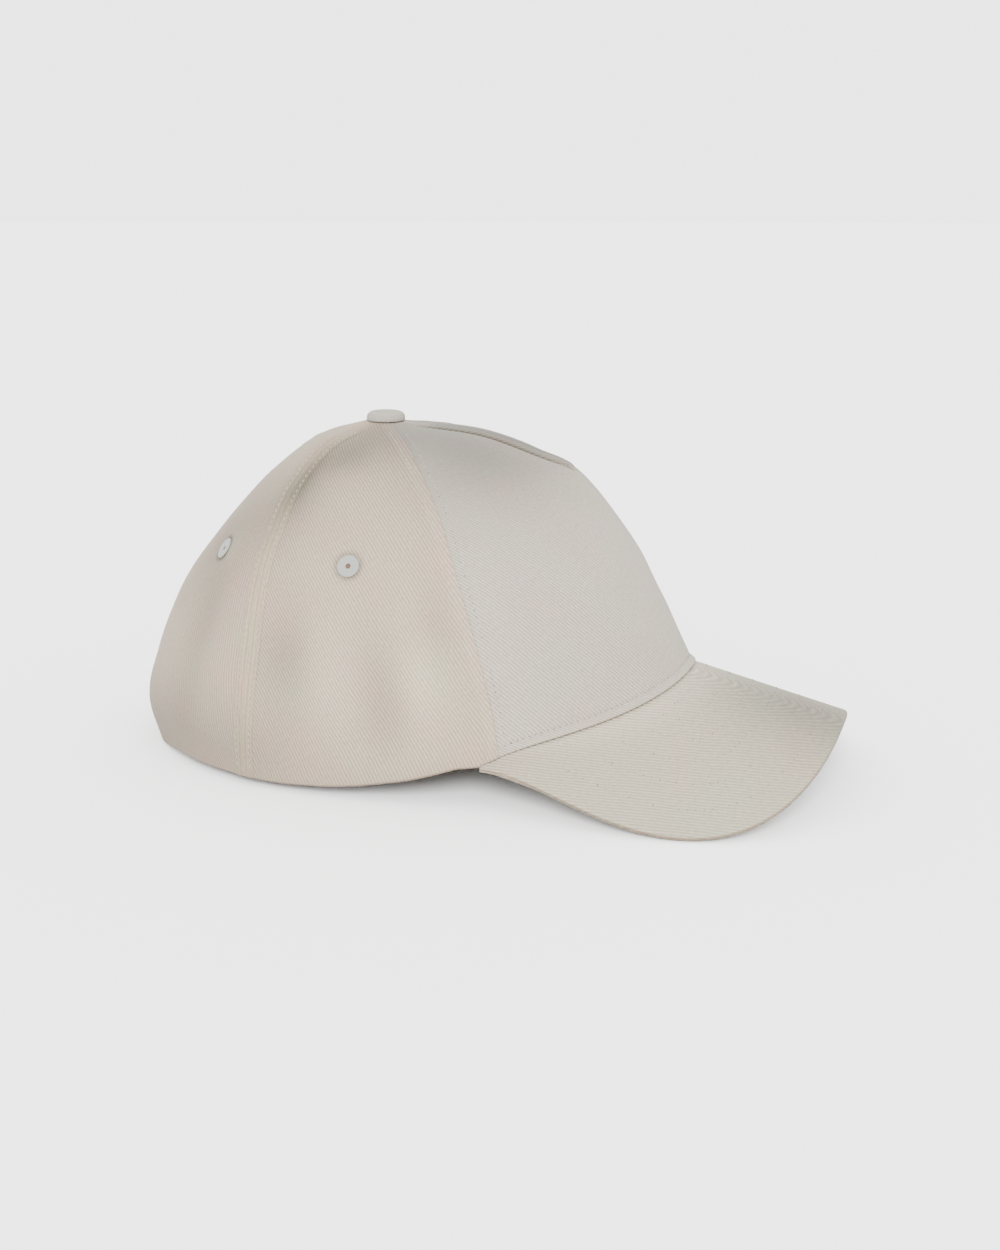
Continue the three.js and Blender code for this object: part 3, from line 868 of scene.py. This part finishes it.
def makePanel(kind, side, pieceName, nodeName):
    panel = panels[kind]
    rows = panelRows()
    widest = np.array([0.3])
    low, high = panelAngles(panel, side, widest)
    width = float(((high - low) * millimetresPerDegree((high + low) / 2, widest))[0])
    low, high = (edge[:, None] for edge in panelAngles(panel, side, rows))
    if kind == "front":
        angle = frontAngles(rows, high[:, 0], width)
    else:
        angle = low + (high - low) * panelShares(width)
    along = np.broadcast_to(rows[:, None], angle.shape)
    outer = outerPoint(panel, angle, along)
    inner = crownPoint(angle, along) - outward(crownPoint, angle, along) * crown["wall"]
    inner[0, :, 2] = rimHeight(angle[0], inner[0, :, 0], inner[0, :, 1])
    keep, ringShade = None, 0
    if kind in eyelet["places"]:
        outer, keep, ringShade = openCloth(kind, side, outer, angle, along)
    pattern = clothPattern(outer, angle.shape[1] // 2)
    brownTintAndShade, paintedShade, band = panelMarks(kind, angle, along, low, high)
    marks = {"brownTintAndShade": brownTintAndShade, "paintedShade": ringShade + paintedShade, "band": band}
    piece = makeWall(pieceName, outer, inner, pattern, marks, False, keep)
    finishPiece(piece, panel["material"], nodeName)


makePanel("front", 1, "frontPanel", "front_panel")
for sideName, side in (("Right", -1), ("Left", 1)):
    makePanel("side", side, "sidePanel" + sideName, "side_panel_" + sideName.lower())
    makePanel("back", side, "backPanel" + sideName, "back_panel_" + sideName.lower())
print("stage: panels sewn")


# merges the points that meet on an axis
def weld(piece):
    shape = bmesh.new()
    shape.from_mesh(piece.data)
    bmesh.ops.remove_doubles(shape, verts=shape.verts, dist=1e-6)
    bmesh.ops.dissolve_degenerate(shape, edges=shape.edges, dist=1e-7)
    shape.to_mesh(piece.data)
    shape.free()
    piece.data.shade_smooth()


# a disc of radial thread with a slightly raised rim, standing on the crown
def makeEyelet(kind, sideName, side):
    turn, height = eyelet["places"][kind]
    angle, along = np.array([side * turn]), np.array([height])
    centre = crownPoint(angle, along)[0]
    normal = outward(crownPoint, angle, along)[0]
    aside = unit(np.cross([0, 0, 1], normal))
    upward = np.cross(normal, aside)
    radius, hole, rise = eyelet["radius"], eyelet["hole"], eyelet["rise"]
    # reach from the middle and height above the cloth, from the back of the barrel over the rim to the hole,
    # which a disc closes as painted brown shade
    profile = [(0.0, -crown["wall"]), (barrelRadius, -crown["wall"]), (barrelRadius, -0.35),
               (radius, -0.35), (radius, 0.05), (radius - 0.12, 0.3), (radius - 0.45, rise),
               (radius - 1.1, rise * 0.85), (radius - 1.9, rise * 0.6), (hole + 0.9, rise * 0.42),
               (hole + 0.4, rise * 0.25), (hole + 0.1, 0.0), (hole, -0.3), (0.6, -0.42), (0.0, -0.4)]
    ring = eyelet["ring"]
    around = np.linspace(0, 2 * np.pi, ring, endpoint=False)
    spoke = 0.5 + 0.5 * np.cos(around * eyelet["threads"])
    points, depths = [], []
    for i, (reach, lift) in enumerate(profile):
        onTop = 3 < i < 12
        wave = eyelet["wave"] * (spoke - 0.5) * min(1, (reach - hole) / 1.5) if onTop else 0 * spoke
        reachHere = reach + (0.06 * spoke if i in (4, 5) else 0)
        flat = np.outer(np.cos(around) * reachHere, aside) + np.outer(np.sin(around) * reachHere, upward)
        points.append(centre + flat + np.outer(lift + wave, normal))
        depths.append(np.full(ring, float(np.clip((hole + 0.35 - reach) / 0.35, 0, 1))))
    marks = {"spoke": np.tile(spoke, len(profile)), "depth": np.concatenate(depths)}
    faces = ringFaces(len(profile), ring)
    piece = makeMesh(kind + "Eyelet" + sideName, np.concatenate(points), faces, None, marks)
    weld(piece)
    finishPiece(piece, eyeletSatin, "eyelet_" + kind + "_" + sideName.lower())


for sideName, side in (("Right", -1), ("Left", 1)):
    for kind in eyelet["places"]:
        makeEyelet(kind, sideName, side)

button = {
    "radius": 7.5,
    "height": 4,
    "stemRadius": 2,
    "stemLength": 3,
    "flatTop": 4.7,
    "sideTop": 1.6,
    "crownDrop": 0.15,
    "pleats": 26,
    "pleatDepth": 0.1,
    "ring": 104,
}


# covered button: a straight side, a rounded top corner, and small pleats drawn in at its base
def makeButton():
    radius, height, ring = button["radius"], button["height"], button["ring"]
    sideTop, flatTop = button["sideTop"], button["flatTop"]
    corner = radius - flatTop
    profile = [(0.0, -button["stemLength"]), (button["stemRadius"], -button["stemLength"]),
               (button["stemRadius"], 0.15), (radius - 1.2, 0.1), (radius - 0.45, 0.12), (radius - 0.12, 0.4),
               (radius - 0.02, 0.8), (radius, 1.2), (radius - 0.02, sideTop)]
    for bend in np.linspace(0.1, 1, 8) * math.pi / 2:
        climb = (height - button["crownDrop"] - sideTop) * math.sin(bend)
        profile.append((radius - corner * (1 - math.cos(bend)), sideTop + climb))
    profile += [(flatTop * 0.7, height - 0.07), (flatTop * 0.35, height - 0.02), (0.0, height)]
    around = np.linspace(0, 2 * np.pi, ring, endpoint=False)
    pleat = button["pleatDepth"] * np.cos(around * button["pleats"] + 0.4 * np.sin(around * 3))
    base = np.array([0, crown["buttonSetback"], crown["height"] + crown["gap"]])
    points, pattern = [], []
    for reach, lift in profile:
        here = reach + pleat * (1 - smoothStep(lift, 0.5, 1.8)) * (reach > radius - 2)
        side = np.stack([np.cos(around) * here, np.sin(around) * here, np.full(ring, lift)], 1)
        points.append(base + side)
        if lift > 2.5:
            pattern.append(side[:, :2] * (1 + 0.1 * (height - lift)))
        else:
            pattern.append(np.stack([around * radius, np.full(ring, lift + 20)], 1))
    faces = ringFaces(len(profile), ring)
    piece = makeMesh("topButton", np.concatenate(points), faces, np.concatenate(pattern))
    weld(piece)
    finishPiece(piece, buttonWeave, "top_button")


makeButton()
print("stage: eyelets and button made")

# reach is the usual distance from the root to the edge; ridgeShade paints shade along the middle ahead and
# rootLight paints light near the root; edgeLine is painted shade, tinted brown, in the groove at the rolled
# edge
peakWork = {
    "edgeRoll": 1.1,
    "reach": 70.0,
    "weftRise": 0.974,
    "weftLean": 0.225,
    "weftRound": 8,
    "ridgeShade": 0.46,
    "ridgeWidth": 30,
    "rootLight": 0.25,
    "rootRun": 14,
    "edgeLine": 0.7,
    "rowPitch": 9,
    "rows": 6,
}


# one cover; its face is on top or underneath, and rolls over at the outer edge
def makeCover(pieceName, nodeName, faceDepth, backDepth, material):
    sense = 1 if backDepth > faceDepth else -1
    across = np.concatenate([np.linspace(-1, -0.97, 7), np.linspace(-0.965, 0.965, 150),
                             np.linspace(0.97, 1, 7)])
    roll, reach = peakWork["edgeRoll"], peakWork["reach"]
    edge = roll * np.array([1, 0.8, 0.6, 0.42, 0.27, 0.14, 0.05, 0]) / reach
    out = np.concatenate([np.linspace(0, 1 - edge[0], 64), 1 - edge[1:]])
    curl = roll - np.sqrt(np.maximum(roll ** 2 - (roll - edge * reach) ** 2, 0))
    bend = np.concatenate([np.zeros(63), curl])
    across, out, bend = np.broadcast_arrays(across[None, :], out[:, None], bend[:, None])

    def layer(depth):
        depth = depth * cornerPress(across)
        x, y = peakPlan(across, out, depth)
        return np.stack([x, y, peakRise + peakDrop(x, y, depth)], -1)

    face = layer(faceDepth + sense * bend)
    back = layer(np.full(across.shape, backDepth, float))
    lean = peakWork["weftLean"] * np.sqrt(face[..., 0] ** 2 + peakWork["weftRound"] ** 2)
    pattern = np.stack([face[..., 1], peakWork["weftRise"] * face[..., 2] - lean], -1)
    # painted shade tinted brown in the groove at the rolled edge; painted shade on the ridge ahead, painted
    # light near the root
    line = np.clip(1 - np.abs(1 - out) * reach / 0.5, 0, 1) * peakWork["edgeLine"]
    ridge = hump(face[..., 0], 0, peakWork["ridgeWidth"])
    ahead = smoothStep(-face[..., 1] - crown["rimFront"], -10, 45)
    rootLight = peakWork["rootLight"] * hump(out * reach, 0, peakWork["rootRun"])
    paintedShade = peakWork["ridgeShade"] * ridge * ahead - rootLight
    outer, inner = (face, back) if sense > 0 else (back, face)
    piece = makeWall(pieceName, outer, inner, pattern, {"brownTintAndShade": line, "paintedShade": paintedShade}, True)
    finishPiece(piece, material, nodeName)


makeCover("peakUpperCover", "peak_upper_cover", 0.0, peak["cover"], cloths["peakTwill"])
makeCover("peakUnderCover", "peak_under_cover", thickness, peak["cover"] + crown["gap"], cloths["underTwill"])
print("stage: peak covers made")


# lower edge of the sweatband: under the peak in front, and a little below the panels behind it
def bandEdge(angle, x, y):
    turn = turnFromFront(angle)
    underPeak = peakTop(x, y) - thickness / peakNormal(x, y)[..., 2]
    rimX, rimY = levelPoint(angle, 0.0)
    behind = rimHeight(angle, rimX, rimY) - rim["bandShow"]
    return underPeak + (behind - underPeak) * smoothStep(turn, peak["corner"] - 5, peak["corner"] + 1)


# share of the way up and how far the band's face is tucked in there
bandRoundness = [(0.0, 0.55), (0.02, 0.3), (0.05, 0.12), (0.1, 0.03), (0.2, 0.0), (0.45, 0.0), (0.75, 0.0),
                 (0.95, 0.0), (1.0, 0.35)]


# folded band inside the rim, with a rounded lower edge
def makeSweatband():
    angles = np.linspace(0, 360, 480, endpoint=False)
    heights = np.linspace(0, 1, 400)
    top = float(np.interp(rim["bandHeight"] / crown["height"], upCurve(heights), heights))

    def face(depth, inward):
        layers = []
        for share, tuck in bandRoundness:
            depthHere = depth + rim["bandLean"] * share + inward * tuck
            place = np.full(angles.shape, top * share)
            point = smoothPoint(angles, place) - outward(smoothPoint, angles, place) * depthHere
            point[..., 2] = bandEdge(angles, point[..., 0], point[..., 1]) + (rim["bandHeight"] - 2) * share
            layers.append(point)
        return np.array(layers)

    outer = face(crown["wall"] + crown["gap"], 1)
    inner = face(crown["wall"] + crown["gap"] + rim["bandWall"], -1)
    perDegree = 1.65
    flat = np.stack([np.broadcast_to(angles * perDegree, outer.shape[:2]), outer[..., 2]], -1)
    piece = makeWall("sweatband", outer, inner, flat, {}, True, closed=True)
    finishPiece(piece, cloths["bandTwill"], "sweatband")


makeSweatband()
print("stage: sweatband made")

stitchInputs = {
    "Geometry": ("Geometry",),
    "Float": ("Pitch", "Thread Length", "Thread Radius", "Lift", "Slant", "Hole Radius", "Hole Lift",
              "Unevenness", "Thread Share", "Hole Share"),
    "Int": ("Seed",),
    "Material": ("Thread", "Hole"),
}


# rows of stitches along paths: a thread on each step and, where asked, a needle hole between two; the holes
# are dark flecks of painted shade
def stitchTree():
    tree = bpy.data.node_groups.new("stitchRow", "GeometryNodeTree")
    for kind, names in stitchInputs.items():
        for name in names:
            tree.interface.new_socket(name, in_out="INPUT", socket_type="NodeSocket" + kind)
    tree.interface.new_socket("Geometry", in_out="OUTPUT", socket_type="NodeSocketGeometry")
    given = addNode(tree, "NodeGroupInput").outputs
    normals = addNode(tree, "GeometryNodeInputNamedAttribute", {"Name": "lift"}, data_type="FLOAT_VECTOR")
    upward = normals.outputs[0]
    paths = addNode(tree, "GeometryNodeMeshToCurve", {"Mesh": given["Geometry"]}).outputs[0]
    tangent = addNode(tree, "GeometryNodeInputTangent").outputs[0]
    turned = addNode(tree, "FunctionNodeAlignRotationToVector", {"Vector": tangent}, axis="X").outputs[0]
    upright = addNode(tree, "FunctionNodeAlignRotationToVector", {"Rotation": turned, "Vector": upward},
                      axis="Z", pivot_axis="X").outputs[0]

    def randomValue(low, high):
        inputs = {2: low, 3: high, "Seed": given["Seed"]}
        return addNode(tree, "FunctionNodeRandomValue", inputs, data_type="FLOAT").outputs[1]

    def row(start, radii, height, slant, material, rings, share):
        trimmed = addNode(tree, "GeometryNodeTrimCurve", {"Curve": paths, 4: start, 5: 1000.0}, mode="LENGTH")
        stepped = addNode(tree, "GeometryNodeResampleCurve",
                          {"Curve": trimmed.outputs[0], "Length": given["Pitch"]}, mode="LENGTH")
        lifted = {"Geometry": stepped.outputs[0], "Offset": scaled(tree, upward, height)}
        moved = addNode(tree, "GeometryNodeSetPosition", lifted)
        round = {"Segments": rings[0], "Rings": rings[1], "Radius": 1.0}
        ball = addNode(tree, "GeometryNodeMeshUVSphere", round)
        uneven = [calculate(tree, sign, slant, given["Unevenness"]) for sign in ("SUBTRACT", "ADD")]
        yaw = addNode(tree, "ShaderNodeCombineXYZ", {2: randomValue(*uneven)}).outputs[0]
        spin = addNode(tree, "FunctionNodeRotateRotation", {0: upright, 1: yaw}, rotation_space="LOCAL")
        size = addNode(tree, "ShaderNodeCombineXYZ", dict(enumerate(radii))).outputs[0]
        chance = addNode(tree, "FunctionNodeRandomValue", {"Probability": share, "Seed": given["Seed"]},
                         data_type="BOOLEAN")
        varied = scaled(tree, size, randomValue(0.75, 1.15))
        placed = addNode(tree, "GeometryNodeInstanceOnPoints", {
            "Points": moved.outputs[0], "Selection": chance.outputs[3], "Instance": ball.outputs[0],
            "Rotation": spin.outputs[0], "Scale": varied})
        real = addNode(tree, "GeometryNodeRealizeInstances", {0: placed.outputs[0]})
        smooth = addNode(tree, "GeometryNodeSetShadeSmooth", {0: real.outputs[0], 2: True})
        return addNode(tree, "GeometryNodeSetMaterial", {0: smooth.outputs[0], 2: material}).outputs[0]

    radius, holeRadius = given["Thread Radius"], given["Hole Radius"]
    threads = row(0.0, (product(tree, given["Thread Length"], 0.5), radius, radius), given["Lift"],
                  given["Slant"], given["Thread"], (8, 6), given["Thread Share"])
    holes = row(product(tree, given["Pitch"], 0.5), (holeRadius, holeRadius, product(tree, holeRadius, 0.35)),
                given["Hole Lift"], 0.0, given["Hole"], (6, 4), given["Hole Share"])
    joined = addNode(tree, "GeometryNodeJoinGeometry")
    for part in (threads, holes):
        tree.links.new(part, joined.inputs[0])
    tree.links.new(joined.outputs[0], addNode(tree, "NodeGroupOutput").inputs[0])
    return tree


stitchRow = stitchTree()
# millimetres: pitch, thread length and radius, lift off the cloth and needle hole; then the slant in degrees,
# its unevenness, and the shares of the steps that show a thread and a hole
stitchKinds = {
    "seam": (2.5, 1.7, 0.16, -0.05, 0.24, 0, 0.06, 1, 0.8),
    "plainSeam": (2.5, 1.9, 0.18, -0.03, 0, 0, 0.06, 1, 0),
    "hem": (2.3, 1.5, 0.18, -0.05, 0.3, 0, 0.06, 1, 0.95),
    "peak": (2.9, 1, 0.1, 0, 0.24, 0, 0.06, 0, 0.62),
    "edge": (1, 1.2, 0.25, -0.02, 0, 42, 0.15, 1, 0),
}
holeLift = 0.03


# each row is a path and the cloth's normals along it
def makeStitches(pieceName, kind, rows, thread, seed):
    pitch, length, radius, lift, hole, slant, uneven, threads, holes = stitchKinds[kind]
    paths, normals = zip(*rows)
    edges, start = [], 0
    for path in paths:
        edges += [(i, i + 1) for i in range(start, start + len(path) - 1)]
        start += len(path)
    marks = {"lift": np.concatenate(normals)}
    piece = makeMesh(pieceName, np.concatenate(paths), np.array([]), None, marks, edges)
    modifier = piece.modifiers.new("stitches", "NODES")
    modifier.node_group = stitchRow
    values = {
        "Pitch": pitch * mm, "Thread Length": length * mm, "Thread Radius": radius * mm, "Lift": lift * mm,
        "Slant": math.radians(slant), "Hole Radius": hole * mm, "Hole Lift": holeLift * mm,
        "Unevenness": uneven, "Thread Share": threads, "Hole Share": holes, "Seed": seed,
        "Thread": thread, "Hole": needleShade,
    }
    for item in stitchRow.interface.items_tree:
        if item.in_out == "INPUT" and item.name in values:
            modifier[item.identifier] = values[item.name]
    evaluated = piece.evaluated_get(bpy.context.evaluated_depsgraph_get())
    made = bpy.data.meshes.new_from_object(evaluated)
    piece.modifiers.clear()
    piece.data = made
    finishPiece(piece)


# path at a fixed distance beside a seam, on the crown's sewn face
def besideSeamPath(kind, seamName, side, distance):
    along = np.linspace(0.03, 0.955, 160)
    angle = seamAngle(seams[seamName], along)
    for _ in range(2):
        angle = seamAngle(seams[seamName], along) + distance / millimetresPerDegree(side * angle, along)
    angle = side * angle
    return outerPoint(panels[kind], angle, along), outward(crownPoint, angle, along)


def seamStitches():
    offset = 2.9
    plainRows = (("side", "front", 1), ("side", "back", -1), ("back", "back", 1), ("back", "middle", -1))
    marked, plain = [], []
    for side in (-1, 1):
        marked.append(besideSeamPath("front", "front", side, -offset))
        for kind, seamName, away in plainRows:
            plain.append(besideSeamPath(kind, seamName, side, away * offset))
    makeStitches("seamStitches", "seam", marked, clothThread, 3)
    makeStitches("plainSeamStitches", "plainSeam", plain, clothThread, 4)


# row along the front panel's lower edge, above the peak
def hemStitches():
    reach = seams["front"]["rim"] - 1
    angle = np.linspace(-reach, reach, 240)
    along = np.full(len(angle), hem["grooveHeight"] / crown["wallLength"])
    row = (outerPoint(panels["front"], angle, along), outward(crownPoint, angle, along))
    makeStitches("hemStitches", "hem", [row], clothThread, 5)


# rows of needle holes, dark flecks of painted shade, side by side with the peak's outer edge, ended before
# the crown
def peakStitches():
    rows = []
    edgeX, edgeY = peakEdge(np.linspace(-0.995, 0.995, 400))
    slopeX, slopeY = np.gradient(edgeX), np.gradient(edgeY)
    length = np.hypot(slopeX, slopeY)
    setback = crown["buttonSetback"]
    for i in range(1, peakWork["rows"] + 1):
        inset = i * peakWork["rowPitch"]
        x = edgeX - slopeY / length * inset
        y = edgeY + slopeX / length * inset
        turn = np.degrees(np.arctan2(x, -(y - setback)))
        wallX, wallY = levelPoint(turn, 0.0)
        clear = np.hypot(x, y - setback) - np.hypot(wallX, wallY - setback) > 4
        if clear.sum() > 20:
            x, y = x[clear], y[clear]
            normal = peakNormal(x, y)
            rows.append((np.stack([x, y, peakTop(x, y)], -1) + normal * 0.02, normal))
    makeStitches("peakStitches", "peak", rows, clothThread, 7)


# slanted stitches that bind the edges of the peak and the sweatband
def edgeStitches():
    across = np.linspace(-0.955, 0.955, 500)
    depth = (peak["cover"] + crown["gap"] / 2 + 0.3) * cornerPress(across)
    x, y = peakPlan(across, 1.0, depth)
    path = np.stack([x, y, peakRise + peakDrop(x, y, depth)], -1)
    normal = unit(np.cross(peakNormal(x, y), np.gradient(path, axis=0)))
    if normal[len(across) // 2, 1] > 0:
        normal = -normal
    angles = np.linspace(62, 298, 700)
    place = np.zeros(angles.shape)
    out = outward(smoothPoint, angles, place)
    ring = smoothPoint(angles, place) - out * (crown["wall"] + crown["gap"] + 0.1)
    ring[:, 2] = bandEdge(angles, ring[:, 0], ring[:, 1]) + 0.45
    makeStitches("peakEdgeStitches", "edge", [(path - normal * 0.25, normal)], edgeThread, 11)
    makeStitches("bandStitches", "edge", [(ring, out)], edgeThread, 13)


seamStitches()
hemStitches()
peakStitches()
edgeStitches()
print("stage: stitches made")

stage = {
    "radii": [0.0, 300.0, 1500.0, 12000.0],
    "ring": 96,
    "colour": (0.9, 0.9, 0.9, 1),
}


# wide flat floor of the same tone as the room, so that no horizon shows
def makeStage():
    around = np.linspace(0, 2 * np.pi, stage["ring"], endpoint=False)
    flat = np.stack([np.cos(around), np.sin(around), np.zeros(stage["ring"])], 1)
    points = np.concatenate([flat * radius for radius in stage["radii"]])
    faces = ringFaces(len(stage["radii"]), stage["ring"])[:, ::-1]
    floor = makeMesh("studioFloor", points, faces)
    weld(floor)
    material, tree, shader = newMaterial("palePaper", 0.95, 0.1)
    shader.inputs["Base Color"].default_value = stage["colour"]
    floor.data.materials.append(material)


# room and horizon are the pale world's brightness above and beside the cap; the sun is one wide soft light
light = {
    "room": 3,
    "horizon": 3.5,
    "strength": 7,
    "turn": 13,
    "raise": 32,
    "spread": 25,
}
# seen from the wearer's right, a little from the front and above
view = {
    "turn": 20.36,
    "raise": 13.33,
    "distance": 671.7,
    "aimHeight": 60,
    "pixelsPerMm": 2.511,
    "aimPixel": (419.5, 591.2),
    "frame": (1000, 1250),
    "sensor": 36,
}


# direction from the cap, turned from the wearer's right side toward the front, and raised
def directionTo(sizes):
    turn, climb = math.radians(sizes["turn"]), math.radians(sizes["raise"])
    return Vector((-math.cos(turn) * math.cos(climb), -math.sin(turn) * math.cos(climb), math.sin(climb)))


def makeLights():
    toward = directionTo(light)
    data = bpy.data.lights.new("wideSoftLight", "SUN")
    data.energy = light["strength"]
    data.angle = math.radians(light["spread"])
    lamp = bpy.data.objects.new("wideSoftLight", data)
    lamp.rotation_euler = toward.to_track_quat("Z", "Y").to_euler()
    lamp.location = toward
    bpy.context.scene.collection.objects.link(lamp)
    world = bpy.data.worlds.new("paleRoom")
    world.use_nodes = True
    tree = world.node_tree
    direction = addNode(tree, "ShaderNodeTexCoord").outputs["Generated"]
    climb = addNode(tree, "ShaderNodeSeparateXYZ", {0: direction}).outputs[2]
    room = mapRange(tree, climb, 0.12, 0.4, light["horizon"], light["room"])
    tree.links.new(room, tree.nodes["Background"].inputs[1])
    tree.nodes["Background"].inputs[0].default_value = (1, 1, 1, 1)
    bpy.context.scene.world = world


def makeCamera():
    aim = Vector((0, rimCentreY, view["aimHeight"]))
    back = directionTo(view)
    data = bpy.data.cameras.new("camera")
    camera = bpy.data.objects.new("camera", data)
    camera.location = (aim + back * view["distance"]) * mm
    camera.rotation_euler = (-back).to_track_quat("-Z", "Y").to_euler()
    wide, tall = view["frame"]
    data.sensor_width = view["sensor"]
    data.lens = view["pixelsPerMm"] * view["distance"] / tall * view["sensor"]
    data.shift_x = (wide / 2 - view["aimPixel"][0]) / tall
    data.shift_y = (view["aimPixel"][1] - tall / 2) / tall
    data.clip_start, data.clip_end = 0.01, 30
    bpy.context.scene.collection.objects.link(camera)
    bpy.context.scene.camera = camera


makeStage()
makeLights()
makeCamera()

print("stage: done")
